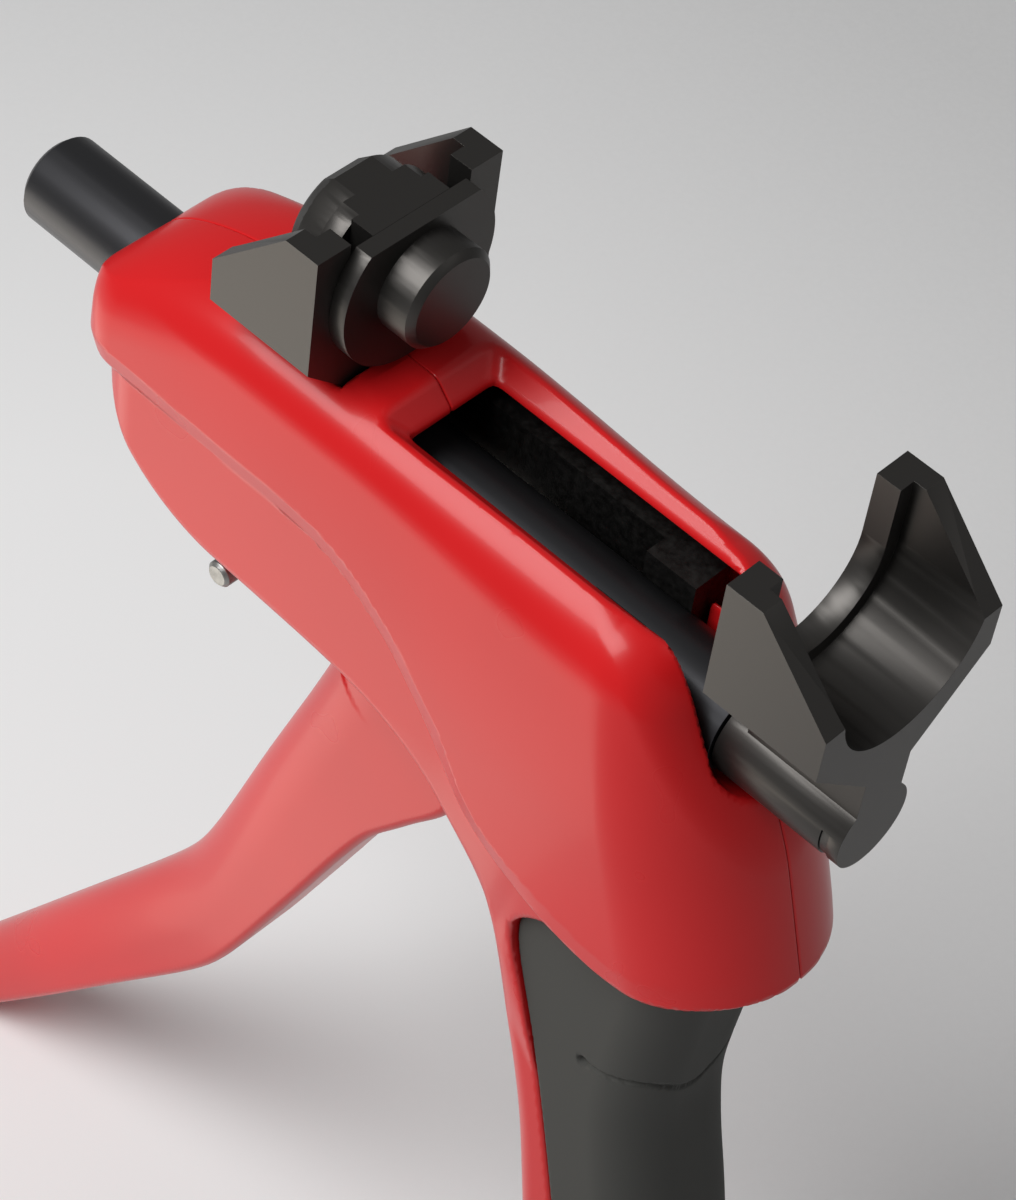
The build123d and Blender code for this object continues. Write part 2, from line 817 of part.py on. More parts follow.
def lower_body(inset):
    """Lower housing, set in behind the crease of the upper one, rounded in plan at the rear."""
    half = lower_half - inset
    with BuildPart() as body:
        with BuildSketch(Plane.XZ):
            with BuildLine():
                rear = Line((low_rear_x, lower_top_z), (low_rear_x, belly_z + belly_turn))
                turn = TangentArc(rear @ 1, (low_rear_x + belly_turn, belly_z), tangent=(0, -1))
                floor = Line(turn @ 1, (belly_flat_x, belly_z))
                TangentArc(floor @ 1, (heel_x, heel_z), tangent=(1, 0))
                Polyline(
                    (heel_x, heel_z),
                    (heel_top_x, nose_base_z),
                    (heel_top_x, lower_top_z),
                    rear @ 0,
                )
            make_face()
            if inset:
                offset(amount=-inset)
        extrude(amount=half, both=True)
        with BuildSketch(Plane.XY):
            with BuildLine():
                Polyline(
                    (low_rear_x + inset, half),
                    (taper_x, half),
                    (heel_top_x, heel_half - inset),
                    (heel_top_x, inset - heel_half),
                    (taper_x, -half),
                    (low_rear_x + inset, -half),
                    close=True,
                )
            make_face()
            fillet(vertices().group_by(Axis.X)[0], low_round - inset)
        extrude(amount=2 * heel_z, mode=Mode.INTERSECT)
    return body.part


def grip_body(inset, floor):
    """Grip as a loft of rounded sections, closed by a floor."""
    with BuildPart() as body:
        for level, rear, front, wide_half in grip_ovals:
            base = max(level, grip_end_z + floor)
            with BuildSketch(Plane.XY.offset(base)):
                with Locations(((rear + front) / 2, 0)):
                    RectangleRounded(
                        front - rear - 2 * inset,
                        2 * (wide_half - inset),
                        grip_round - inset,
                    )
        loft()
    return body.part


# Zone of the grip that carries rubber: everything in front of the spine
with BuildPart() as rubber_zone:
    with BuildSketch(Plane.XZ):
        with BuildLine():
            Polyline(
                (zone_x, nose_base_z),
                (zone_front_x, nose_base_z),
                (zone_front_x, grip_end_z),
                *spine_spots,
                close=True,
            )
        make_face()
    extrude(amount=upper_half, both=True)

with BuildPart() as grip_sleeve:
    add(grip_body(0, 0))
    add(grip_body(sleeve_t, 0), mode=Mode.SUBTRACT)
    add(rubber_zone.part, mode=Mode.INTERSECT)
grip_sleeve.part.label = "grip_sleeve"

# Hollow of the housing, less the bosses, skirts and collars that stay in it
with BuildPart() as hollow:
    add(upper_body(wall))
    add(lower_body(wall))
    add(grip_body(sleeve_t + wall, wall))
    for x, z, half in screw_spots:
        add(cross_pin(x, z, screw_boss_r, half), mode=Mode.SUBTRACT)
    collar_x = wiper_x + 1.5 * wiper_len
    add(rod_line(rear_x, collar_x, bush_r + wall), mode=Mode.SUBTRACT)
    trough_x = front_block[1] + free_gap
    add(rod_line(trough_x, jaw_front, trough_r + wall), mode=Mode.SUBTRACT)
    for way in (-1, 1):
        skirt = (way * slot_half, way * (trough_r + wall))
        add(
            block(slot_rear_x, jaw_front, min(skirt), max(skirt), -slot_skirt, 0),
            mode=Mode.SUBTRACT,
        )
        cheek_wall = (way * cheek_out, way * upper_half)
        for x in (rear_block_x, front_block_x):
            add(
                block(x - 4, x + 4, min(cheek_wall), max(cheek_wall), rod_z - 6, rod_z + 6),
                mode=Mode.SUBTRACT,
            )
    end_wall = (slot_rear_x - wall, slot_rear_x)
    skirt_half = trough_r + wall
    add(block(*end_wall, -skirt_half, skirt_half, -slot_skirt, 0), mode=Mode.SUBTRACT)
    tongue_half = cheek_in - side_gap
    tongue_low = rod_z + rod_r + free_gap
    tongue = block(*end_wall, -tongue_half, tongue_half, tongue_low, -slot_skirt)
    add(tongue, mode=Mode.SUBTRACT)
    with Locations((release_x, 0, release_seat_z)):
        Cylinder(
            release_seat_r,
            -belly_z,
            align=(Align.CENTER, Align.CENTER, Align.MAX),
            mode=Mode.SUBTRACT,
        )

# Slot for the neck and flare of the moving jaw
slot_flare = neck_half + free_gap * 1.3
slot_knee = -neck_drop + (slot_half - slot_flare) / flare
slot_wide = slot_flare + (fork_top + neck_drop) * flare
with BuildPart() as slot:
    with BuildSketch(Plane.YZ.offset(slot_rear_x)):
        with BuildLine():
            Polyline(
                (-slot_half, rod_z),
                (-slot_half, slot_knee),
                (-slot_wide, fork_top),
                (slot_wide, fork_top),
                (slot_half, slot_knee),
                (slot_half, rod_z),
                close=True,
            )
        make_face()
        with Locations((0, rod_z)):
            Circle(trough_r)
    extrude(amount=2 * jaw_front)

# Seat of the fixed jaw in the top of the housing
jaw_hole = fork_half - (-fork_flank - seat_z) * flare + free_gap
with BuildPart() as jaw_window:
    with BuildSketch(Plane.YZ.offset(-flange_t + free_gap)):
        with BuildLine():
            Polyline(
                (-jaw_hole, seat_z),
                (-jaw_hole - 2 * fork_flank * flare, seat_z + 2 * fork_flank),
                (jaw_hole + 2 * fork_flank * flare, seat_z + 2 * fork_flank),
                (jaw_hole, seat_z),
                close=True,
            )
        make_face()
    extrude(amount=-(fork_depth + 2 * free_gap))

with BuildPart() as grip_spine:
    add(grip_body(0, 0))
    add(rubber_zone.part, mode=Mode.SUBTRACT)

with BuildPart() as housing:
    add(upper_body(0))
    add(lower_body(0))
    add(grip_spine.part)
    add(grip_body(sleeve_t, 0))
    add(hollow.part, mode=Mode.SUBTRACT)
    add(slot.part, mode=Mode.SUBTRACT)
    add(jaw_window.part, mode=Mode.SUBTRACT)
    add(rod_line(2 * rear_x, 0, rod_r + free_gap), mode=Mode.SUBTRACT)
    add(
        rod_line(wiper_x, wiper_x + wiper_len, rod_r + run_gap + wiper_t),
        mode=Mode.SUBTRACT,
    )
    mouth_half_y = lever_half + 2 * free_gap
    lever_mouth = block(
        opening_rear_x, opening_front_x, -mouth_half_y, mouth_half_y, heel_z, opening_z
    )
    add(lever_mouth, mode=Mode.SUBTRACT)
    with Locations((release_x, 0, belly_z)):
        Cylinder(release_r + side_gap, belly_turn, mode=Mode.SUBTRACT)
    for x, z, half in screw_spots:
        with BuildSketch(Plane.XZ.offset(screw_thread)):
            with Locations((x, z)):
                Circle(screw_r)
        extrude(amount=-(screw_thread + half), mode=Mode.SUBTRACT)
        with BuildSketch(Plane.XZ.offset(-(half - screw_sink))):
            with Locations((x, z)):
                Circle(screw_head_r)
        extrude(amount=-upper_half, mode=Mode.SUBTRACT)

with BuildPart() as right_shell:
    add(housing.part)
    split(bisect_by=Plane.XZ, keep=Keep.TOP)
right_shell.part.label = "right_shell"

with BuildPart() as left_shell:
    add(housing.part)
    split(bisect_by=Plane.XZ, keep=Keep.BOTTOM)
left_shell.part.label = "left_shell"

with BuildPart() as shell_screws:
    for x, z, half in screw_spots:
        with BuildSketch(Plane.XZ.offset(screw_thread)):
            with Locations((x, z)):
                Circle(screw_r)
        extrude(amount=-(screw_thread + half - screw_sink))
        with BuildSketch(Plane.XZ.offset(-(half - screw_sink))):
            with Locations((x, z)):
                Circle(screw_head_r)
        extrude(amount=-screw_head_t)
shell_screws.part.label = "shell_screws"

pieces = [
    right_shell.part,
    left_shell.part,
    shell_screws.part,
    grip_sleeve.part,
    chassis.part,
    front_bush.part,
    rear_bush.part,
    rod_wiper.part,
    fixed_jaw.part,
    jaw_insert.part,
    jaw_screws.part,
    press_rod.part,
    moving_jaw.part,
    jaw_clip.part,
    lever.part,
    lever_arm.part,
    lever_rivets.part,
    lever_bush.part,
    lever_pin.part,
    lever_circlips.part,
    lever_spring.part,
    drive_pawl.part,
    drive_pawl_pin,
    drive_pawl_spring,
    holding_pawl.part,
    holding_pawl_pin,
    holding_pawl_spring,
    release_stem.part,
    release_bar.part,
    release_head,
]
os.makedirs("parts", exist_ok=True)
for piece in pieces:
    export_step(piece, f"parts/{piece.label}.step")
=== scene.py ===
import json
from math import cos, radians, sin

import bpy
import numpy as np
from mathutils import Matrix, Vector


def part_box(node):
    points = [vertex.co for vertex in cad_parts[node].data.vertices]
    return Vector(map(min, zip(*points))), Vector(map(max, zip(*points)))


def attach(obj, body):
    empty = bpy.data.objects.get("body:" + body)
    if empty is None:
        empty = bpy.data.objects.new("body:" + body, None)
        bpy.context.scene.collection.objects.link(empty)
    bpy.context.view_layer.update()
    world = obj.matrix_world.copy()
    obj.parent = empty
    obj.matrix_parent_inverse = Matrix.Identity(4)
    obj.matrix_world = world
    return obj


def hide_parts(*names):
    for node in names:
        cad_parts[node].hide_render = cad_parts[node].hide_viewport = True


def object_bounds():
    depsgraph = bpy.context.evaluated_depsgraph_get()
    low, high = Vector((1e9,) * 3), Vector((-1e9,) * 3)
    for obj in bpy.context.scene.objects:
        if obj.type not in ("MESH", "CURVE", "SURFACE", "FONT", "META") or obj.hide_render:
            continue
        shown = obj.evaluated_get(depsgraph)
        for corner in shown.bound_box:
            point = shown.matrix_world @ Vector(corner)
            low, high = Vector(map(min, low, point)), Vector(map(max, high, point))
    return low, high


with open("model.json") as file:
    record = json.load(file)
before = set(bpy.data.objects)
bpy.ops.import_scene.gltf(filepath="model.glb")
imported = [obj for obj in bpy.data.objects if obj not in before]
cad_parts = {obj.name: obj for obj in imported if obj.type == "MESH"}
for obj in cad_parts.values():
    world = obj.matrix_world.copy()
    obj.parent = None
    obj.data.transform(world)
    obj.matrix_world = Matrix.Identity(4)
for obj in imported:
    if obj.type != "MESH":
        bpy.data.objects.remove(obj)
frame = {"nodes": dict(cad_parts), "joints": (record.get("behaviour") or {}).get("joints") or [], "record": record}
cad_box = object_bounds()

bl_info = {
    "name": "Axial press tool",
    "version": (1, 0, 0),
    "blender": (4, 5, 0),
    "location": "View3D > Sidebar > Press tool",
    "description": "Shells, lever, rubber grip, jaws and stage of a hand lever press tool",
    "category": "Object",
}

MM = 0.001
LEVER_JOINT = next(j for j in frame["joints"] if j["name"] == "lever_squeeze")
PIVOT_X = LEVER_JOINT["pos_m"][0] / MM
PIVOT_Z = LEVER_JOINT["pos_m"][2] / MM
ROD_Z = (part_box("press_rod")[0].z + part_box("press_rod")[1].z) / 2 / MM
ROD_R = (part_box("press_rod")[1].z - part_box("press_rod")[0].z) / 2 / MM
STEM_X = (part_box("release_stem")[0].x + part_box("release_stem")[1].x) / 2 / MM
GRIP_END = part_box("grip_sleeve")[0].z / MM


class Curve:
    """Smooth line through a few points, as a height over the first coordinate."""

    def __init__(self, *points):
        """Works out the bend of each span, straight at both ends."""
        self.at, self.height = np.array(points, float).T
        gap = np.diff(self.at)
        rise = np.diff(self.height) / gap
        count = len(points)
        system = np.eye(count)
        right = np.zeros(count)
        for i in range(1, count - 1):
            system[i, i - 1 : i + 2] = gap[i - 1], 2 * (gap[i - 1] + gap[i]), gap[i]
            right[i] = 6 * (rise[i] - rise[i - 1])
        self.bend = np.linalg.solve(system, right)
        self.gap = gap

    def both(self, x):
        """Height and slope at x, carried on straight past the ends."""
        inner = np.clip(x, self.at[0], self.at[-1])
        i = np.clip(np.searchsorted(self.at, inner) - 1, 0, len(self.gap) - 1)
        h = self.gap[i]
        a = (self.at[i + 1] - inner) / h
        b = 1 - a
        low, high = self.bend[i], self.bend[i + 1]
        height = a * self.height[i] + b * self.height[i + 1]
        height = height + ((a**3 - a) * low + (b**3 - b) * high) * h * h / 6
        slope = (self.height[i + 1] - self.height[i]) / h
        slope = slope + ((3 * b * b - 1) * high - (3 * a * a - 1) * low) * h / 6
        return height + slope * (x - inner), slope

    def above(self, x, z):
        """Distance of a point above the line, measured square to it."""
        height, slope = self.both(x)
        return (z - height) / np.sqrt(1 + slope * slope)


def both(a, b, r):
    """Field inside both others, its outer edge rounded to r."""
    return np.minimum(-r, np.maximum(a, b)) + np.hypot(np.maximum(r + a, 0), np.maximum(r + b, 0))


def either(a, b, r):
    """Field inside one of the others, its inner corner filled to r."""
    return -both(-a, -b, r)


def less(a, b, r):
    """Field of the first without the second, the rim of the cut rounded to r."""
    return both(a, -b, r)


def ease(x, start, end):
    """Smooth step from 0 to 1."""
    t = np.clip((x - start) / (end - start), 0, 1)
    return t * t * (3 - 2 * t)


def crossings(values, points):
    """Edges of a grid on which a field changes sign: their cells and the points of the change."""
    inside = values < 0
    shape = np.array(values.shape)
    found = []
    for axis in range(3):
        first = [slice(None)] * 3
        second = [slice(None)] * 3
        first[axis] = slice(None, -1)
        second[axis] = slice(1, None)
        change = inside[tuple(first)] != inside[tuple(second)]
        index = np.argwhere(change)
        keep = np.ones(len(index), bool)
        for other in range(3):
            if other != axis:
                keep &= (index[:, other] > 0) & (index[:, other] < shape[other] - 1)
        index = index[keep]
        after = index.copy()
        after[:, axis] += 1
        one = values[tuple(index.T)]
        two = values[tuple(after.T)]
        share = one / (one - two)
        place = np.stack([points[k][index[:, k]] for k in range(3)], 1)
        place[:, axis] += share * np.diff(points[axis])[index[:, axis]]
        found.append((axis, index, place, one < 0))
    return found


SEAM_LINES = np.array([-0.8, -0.55, -0.4, -0.28, -0.18, -0.1, -0.02, 0.02, 0.1, 0.18, 0.28, 0.4, 0.55, 0.8])


def net(field, low, high, step):
    """Points and four-sided faces of the surface on which a field is zero."""
    points = [np.arange(a - 2 * step, b + 3 * step, step) for a, b in zip(low, high)]
    if low[1] * high[1] <= 0:
        points[1] = np.unique(np.round(np.concatenate([points[1], SEAM_LINES]), 3))
    values = field(*np.meshgrid(*points, indexing="ij"))
    shape = np.array(values.shape)
    total = np.zeros((values.size, 3))
    count = np.zeros(values.size)
    quads = []
    for axis, index, place, leaving in crossings(values, points):
        u, v = (axis + 1) % 3, (axis + 2) % 3
        ring = []
        for du, dv in ((0, 0), (1, 0), (1, 1), (0, 1)):
            cell = index.copy()
            cell[:, u] -= du
            cell[:, v] -= dv
            flat = np.ravel_multi_index(cell.T, shape)
            np.add.at(total, flat, place)
            np.add.at(count, flat, 1)
            ring.append(flat)
        ring = np.stack(ring, 1)
        ring[~leaving] = ring[~leaving][:, ::-1]
        quads.append(ring)
    used = np.flatnonzero(count)
    number = np.full(values.size, -1)
    number[used] = np.arange(len(used))
    return total[used] / count[used, None], number[np.concatenate(quads)]


def slope_of(field, spots, reach=0.02):
    """Direction in which a field grows fastest, at each spot."""
    parts = []
    for axis in range(3):
        shift = np.zeros(3)
        shift[axis] = reach
        ahead = field(*(spots + shift).T)
        behind = field(*(spots - shift).T)
        parts.append((ahead - behind) / (2 * reach))
    return np.stack(parts, 1)


def moulded(name, field, low, high, step):
    """New object whose mesh lies on the zero of a field given in mm, shaded by the field itself."""
    spots, faces = net(field, low, high, step)
    for _ in range(4):
        rise = slope_of(field, spots)
        size = np.maximum((rise * rise).sum(1, keepdims=True), 0.05)
        move = field(*spots.T)[:, None] * rise / size
        spots = spots - np.clip(move, -step / 2, step / 2)
    rise = slope_of(field, spots, step / 6)
    rise /= np.maximum(np.linalg.norm(rise, axis=1, keepdims=True), 1e-9)
    mesh = bpy.data.meshes.new(name)
    mesh.from_pydata((spots * MM).tolist(), [], faces.tolist())
    mesh.update()
    mesh.polygons.foreach_set("use_smooth", np.ones(len(mesh.polygons), bool))
    mesh.normals_split_custom_set_from_vertices(rise.tolist())
    piece = bpy.data.objects.new(name, mesh)
    bpy.context.scene.collection.objects.link(piece)
    return piece


# All sizes below are in mm
SHELL = 2.5
RUBBER = 3.0
SEAM_GAP = 0.05
SEAM_EDGE = 0.35

# Upper housing
TOP_Z = -17.5
DECK_HALF = 18.5
SIDE_HALF = 21.5
FLANK_Z = -64.0
REAR_X = -58.0
REAR_CORNER = 10.0
DECK_EDGE = 9.5
DECK_EDGE_MORE = 4.0
BROW_R = 34.3
BROW_X = -30.0
BROW_EDGE = 0.7
CROWN_R = 28.0
CROWN_EDGE = 4.0
BAND = 5.0
BAND_SLOPE = 0.32
BAND_FADE = 0.22
CREASE_EDGE = 0.8
NOSE_X = 87.6
NOSE_Z = -53.8
NOSE_LEAN = 0.329
BOW_X = 59.0
BOW_R = 12.5
BOW_SLOPE = radians(60)
SCOOP_X = 71.5
SCOOP_Z = -38.0
SCOOP_RUN = 15.8
SCOOP_RISE = 16.1
SCOOP_FILL = 6.0
FRONT_EDGE = 6.5

# Lower housing
LOW_HALF = 19.3
LOW_TOP_Z = -34.0
LOW_FRONT_X = 60.0
LOW_REAR_X = -56.0
LOW_CORNER = 13.0
TURN_X = -20.0
TURN_Z = -36.0
TURN_R = 36.4
BELLY_EDGE = 3.2
HEEL_EDGE_MORE = 2.8
HEEL_FILL = 3.0

# Grip and its rubber
GRIP_TOP_Z = -78.0
GRIP_FRONT_R = 11.0
SPINE_R = 6.0
RUBBER_TOP_X = 55.0
RUBBER_TOP_Z = -94.6
RUBBER_TOP_LEAN = 0.6
RUBBER_HIGH_Z = -84.0
RUBBER_CORNER = 5.0
GROOVE_X = 69.7
GROOVE_R = 0.6
GROOVE_DOT_R = 1.3

# Openings of the housing
SLOT_HALF = 9.4
SLOT_KNEE_Z = -21.8
SLOT_REAR_X = 10.0
SLOT_LOW_Z = -60.0
TROUGH_R = 9.6
FLARE = 1.096
FLARE_COS = 0.674
SEAT_HALF = 9.6
SEAT_Z = -21.5
FREE_GAP = 0.5
SKIRT_Z = -22.8
SKIRT_HALF = 14.6
MOUTH_X = 21.0
MOUTH_REACH = 25.0
MOUTH_HALF = 10.0
MOUTH_Z = -68.0
STEM_HOLE_R = 2.7
STEM_HOLE_Z = -60.0
WELL_R = 3.7
WELL_DEPTH = 3.4
SCREW_SPOTS = (
    (-42.0, -57.5, 19.5),
    (-10.0, -66.5, 19.5),
    (42.0, -59.0, SIDE_HALF),
    (75.0, -68.0, SIDE_HALF),
    (66.0, -140.0, 12.0),
    (80.0, -205.0, 12.0),
)

# Lever and the pocket for its steel arm
LEVER_HALF = 9.0
LEVER_LEAN = radians(22.0)
LEVER_ROOT = 14.0
LEVER_STEP = 33.0
BACK_FLATTEN = 0.62
BACK_R = 8.6
TAIL_LEAN = radians(35.0)
TAIL_X = -103.7
TAIL_Z = -292.1
ARM_HALF_WIDTH = 7.1
ARM_HALF_THICK = 4.1
ARM_REACH = 70.1
RIVETS = (38.0, 58.0)
RIVET_R = 3.0
RIVET_DEPTH = 6.5

# Outlines: height over length for the crease and the heel, length over height for the others
CREASE = Curve(
    (-62, -45.5), (-38.7, -45.4), (-20, -46), (-11, -46), (-3.2, -46.3), (3, -47.3), (8.4, -49.2), (14.8, -53),
    (20.2, -57.2), (24.5, -61.6), (31, -69.2), (37.2, -77.6), (44.2, -83.4), (52.5, -86.6), (63.5, -89.1),
    (72.5, -90), (82.6, -88.2), (90.4, -86), (98, -84.8), (106, -84.4),
)
HEEL = Curve(
    (-20, -72.4), (-8, -73.0), (4, -73.8), (13, -75.1), (22.4, -78.4), (28.4, -82.3), (33, -86.9), (38, -92.6),
    (41.2, -97.9), (43.9, -105.2), (46, -112.6), (48.8, -120), (53.5, -129), (61, -139),
)
GRIP_REAR = Curve(
    (-256, 74), (-190, 62), (-165, 57.4), (-155, 55.4), (-146, 53.2), (-140, 51.6), (-132, 49.3), (-125, 47.5),
    (-118, 46.4), (-104, 46.6), (-78, 50),
)
GRIP_FRONT = Curve(
    (-256, 110), (-190, 94.5), (-165, 89.2), (-155, 86.7), (-146, 84.8), (-140, 83.8), (-132, 83.3), (-125, 83.6),
    (-100, 86), (-78, 90),
)
GRIP_HALF = Curve((-256, 16.5), (-190, 15.3), (-146, 15), (-118, 15.5), (-78, 17))
RUBBER_EDGE = Curve(
    (-256, 86), (-167.7, 68.3), (-156.4, 65.4), (-144, 62.2), (-132, 59), (-120.5, 55.8), (-111.6, 53.2), (-106, 52),
    (-84, 54),
)
GROOVE = Curve((0, -129), (3, -127.6), (7, -124.4), (10, -122.4), (13, -121.6), (16, -121.6))
LEVER_REAR = Curve(
    (-300, -117.6), (-250.9, -84), (-223.7, -65.5), (-198.7, -48.5), (-182, -38.4), (-170, -33.2), (-158.3, -29),
    (-135.5, -21.2), (-107.5, -11.2), (-91.5, -5.8), (-66, 2.5),
)
LEVER_FRONT = Curve(
    (-301, -101.8), (-281.6, -86.2), (-257.9, -67.4), (-235.3, -49.9), (-213.4, -32.8), (-204.2, -26.3), (-196, -21.7),
    (-181.1, -14.7), (-155.6, -3.2), (-131.9, 7.6), (-124, 12), (-118, 16.4), (-112, 20.8), (-106, 25.4), (-100, 28.8),
    (-78, 33),
)


def upper_field(x, y, z):
    """Upper housing: swelling sides, rounded deck, domed rear, scooped front and long nose."""
    swell = np.maximum(z - FLANK_Z, 0) / (TOP_Z - FLANK_Z)
    lift = CREASE.above(x, z)
    bevel = BAND_SLOPE - BAND_FADE * ease(x, 42.0, 62.0)
    half = SIDE_HALF - (SIDE_HALF - DECK_HALF) * swell * swell - bevel * np.maximum(BAND - lift, 0)
    nose = NOSE_X - (z - NOSE_Z) * NOSE_LEAN - half
    plan = np.hypot(np.maximum(x - nose, 0), y) - half
    body = both(plan, REAR_X - x, REAR_CORNER)
    body = both(body, z - TOP_Z, DECK_EDGE + DECK_EDGE_MORE * ease(x, 5.0, 55.0))
    brow = np.hypot(x - BROW_X, z - TOP_Z + BROW_R) - BROW_R
    brow = np.where(x < BROW_X, brow, z - TOP_Z - (x - BROW_X) * 0.2)
    body = both(body, brow, BROW_EDGE)
    rise = np.maximum((z + 45.0) * 0.937 - (x + 32.2) * 0.35, 0)
    body = both(body, np.hypot(y, rise) - CROWN_R, CROWN_EDGE)
    bow = np.arctan2(x - BOW_X, z - TOP_Z + BOW_R)
    front = np.hypot(x - BOW_X, z - TOP_Z + BOW_R) - BOW_R
    steep = (x - BOW_X) * sin(BOW_SLOPE) + (z - TOP_Z + BOW_R) * cos(BOW_SLOPE) - BOW_R
    level = z - TOP_Z - (BOW_X - x) * 0.35
    front = np.where(bow > BOW_SLOPE, steep, np.where(bow > 0, front, level))
    scoop = (x - SCOOP_X) * SCOOP_RUN + (z - SCOOP_Z) * SCOOP_RISE
    scoop = scoop / np.hypot(SCOOP_RUN, SCOOP_RISE)
    body = both(body, either(front, scoop, SCOOP_FILL), FRONT_EDGE)
    return both(body, -lift, CREASE_EDGE)


def lower_field(x, y, z):
    """Lower housing: flat sides set in behind the crease, round rear, belly and heel."""
    half = LOW_HALF + 0.8 * ease(x, 30.0, 50.0) - 4.6 * ease(-z, 72.0, 128.0)
    sides = both(np.abs(y) - half, LOW_REAR_X - x, LOW_CORNER)
    turn = np.hypot(x - TURN_X, z - TURN_Z) - TURN_R
    rear = np.where(z < TURN_Z, turn, TURN_X - x - TURN_R)
    belly = np.where(x < TURN_X, rear, -HEEL.above(x, z))
    body = both(sides, belly, BELLY_EDGE + HEEL_EDGE_MORE * ease(-z, 86.0, 118.0))
    return np.maximum(body, np.maximum(x - LOW_FRONT_X, z - LOW_TOP_Z))


def grip_field(x, y, z):
    """Grip: a leaning pillar, rounder in front than along its spine."""
    rear, slant = GRIP_REAR.both(z)
    front, _ = GRIP_FRONT.both(z)
    half, _ = GRIP_HALF.both(z)
    off = x - (rear + front) / 2
    corner = np.where(off > 0, GRIP_FRONT_R, SPINE_R)
    across = np.abs(off) - ((front - rear) / 2 - corner)
    along = np.abs(y) - (half - corner)
    ring = np.hypot(np.maximum(across, 0), np.maximum(along, 0)) - corner
    ring = ring + np.minimum(np.maximum(across, along), 0)
    ring = ring / np.sqrt(1 + 0.5 * slant * slant)
    return np.maximum(ring, z - GRIP_TOP_Z)


def rubber_zone(x, y, z):
    """Region of the grip in front of the spine and below the nose."""
    edge, slant = RUBBER_EDGE.both(z)
    top = np.minimum(RUBBER_TOP_Z + (x - RUBBER_TOP_X) * RUBBER_TOP_LEAN, RUBBER_HIGH_Z)
    return both((edge - x) / np.sqrt(1 + slant * slant), (z - top) * 0.86, RUBBER_CORNER)


def slot_field(x, y, z):
    """Slot in the deck for the neck of the moving jaw, with bevelled sides and rear end."""
    rise = (z - SLOT_KNEE_Z) * FLARE
    bevel = (np.abs(y) - SLOT_HALF - rise) * FLARE_COS
    sides = np.minimum(np.abs(y) - SLOT_HALF, bevel)
    ends = np.minimum(SLOT_REAR_X - x, (SLOT_REAR_X - x - rise * 0.9) * 0.71)
    channel = np.hypot(y, z - ROD_Z) - TROUGH_R
    sides = np.where(z < ROD_Z, channel, sides)
    return np.maximum(both(sides, ends, 1.5), SLOT_LOW_Z - z)


def jaw_seat(x, y, z):
    """Opening in the deck in which the fixed jaw stands."""
    low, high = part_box("fixed_jaw")
    sides = (np.abs(y) - SEAT_HALF - (z - SEAT_Z) * FLARE) * FLARE_COS
    ends = np.abs(x - (low.x + high.x) / 2 / MM) - (high.x - low.x) / 2 / MM - FREE_GAP
    return np.maximum(np.maximum(sides, ends), SEAT_Z - z)


def shell_field(x, y, z):
    """Both halves of the housing as one hollow body, before they are parted."""
    upper = upper_field(x, y, z)
    lower = lower_field(x, y, z)
    grip = grip_field(x, y, z)
    zone = rubber_zone(x, y, z)
    tail = less(either(lower, grip, HEEL_FILL), zone - 0.1, 0.9)
    outer = np.minimum(np.minimum(upper, tail), grip + RUBBER + 0.1)
    outer = both(outer, GRIP_END - z, 1.0)
    belly = np.maximum(either(lower, grip + RUBBER, HEEL_FILL), 0.25 - zone)
    inner = np.minimum(np.minimum(upper, belly), grip + RUBBER) + SHELL
    inner = np.maximum(inner, GRIP_END + SHELL - z)
    skirt = np.maximum(np.abs(np.abs(y) - 12.0) - 2.6, np.maximum(SKIRT_Z - z, 5.0 - x))
    rear_wall = np.maximum(np.abs(x - 7.5) - SHELL, np.maximum(np.abs(y) - SKIRT_HALF, SKIRT_Z - z))
    trough = np.maximum(np.hypot(y, z - ROD_Z) - (TROUGH_R + SHELL), 58.8 - x)
    collar = np.maximum(np.hypot(y, z - ROD_Z) - 14.0, x + 47.5)
    ribs = np.minimum(np.minimum(skirt, rear_wall), np.minimum(trough, collar))
    body = np.maximum(outer, -np.maximum(inner, -ribs))
    body = less(body, slot_field(x, y, z), 0.8)
    body = less(body, jaw_seat(x, y, z), 0.5)
    bore = np.maximum(np.hypot(y, z - ROD_Z) - ROD_R - FREE_GAP, x)
    body = less(body, bore, 0.8)
    mouth = np.maximum(np.abs(y) - MOUTH_HALF, np.abs(x - MOUTH_X) - MOUTH_REACH)
    mouth = np.maximum(mouth, z - MOUTH_Z)
    body = less(body, mouth, 0.8)
    stem = np.maximum(np.hypot(x - STEM_X, y) - STEM_HOLE_R, z - STEM_HOLE_Z)
    return less(body, stem, 0.5)


def right_shell_field(x, y, z):
    """Half of the housing on the -Y side."""
    return both(shell_field(x, y, z), y + SEAM_GAP, SEAM_EDGE)


def left_shell_field(x, y, z):
    """Half of the housing on the +Y side, with sunk places for the screw heads."""
    body = both(shell_field(x, y, z), SEAM_GAP - y, SEAM_EDGE)
    for spot_x, spot_z, half in SCREW_SPOTS:
        well = np.maximum(np.hypot(x - spot_x, z - spot_z) - WELL_R, half - WELL_DEPTH - y)
        body = less(body, well, 0.5)
    return body


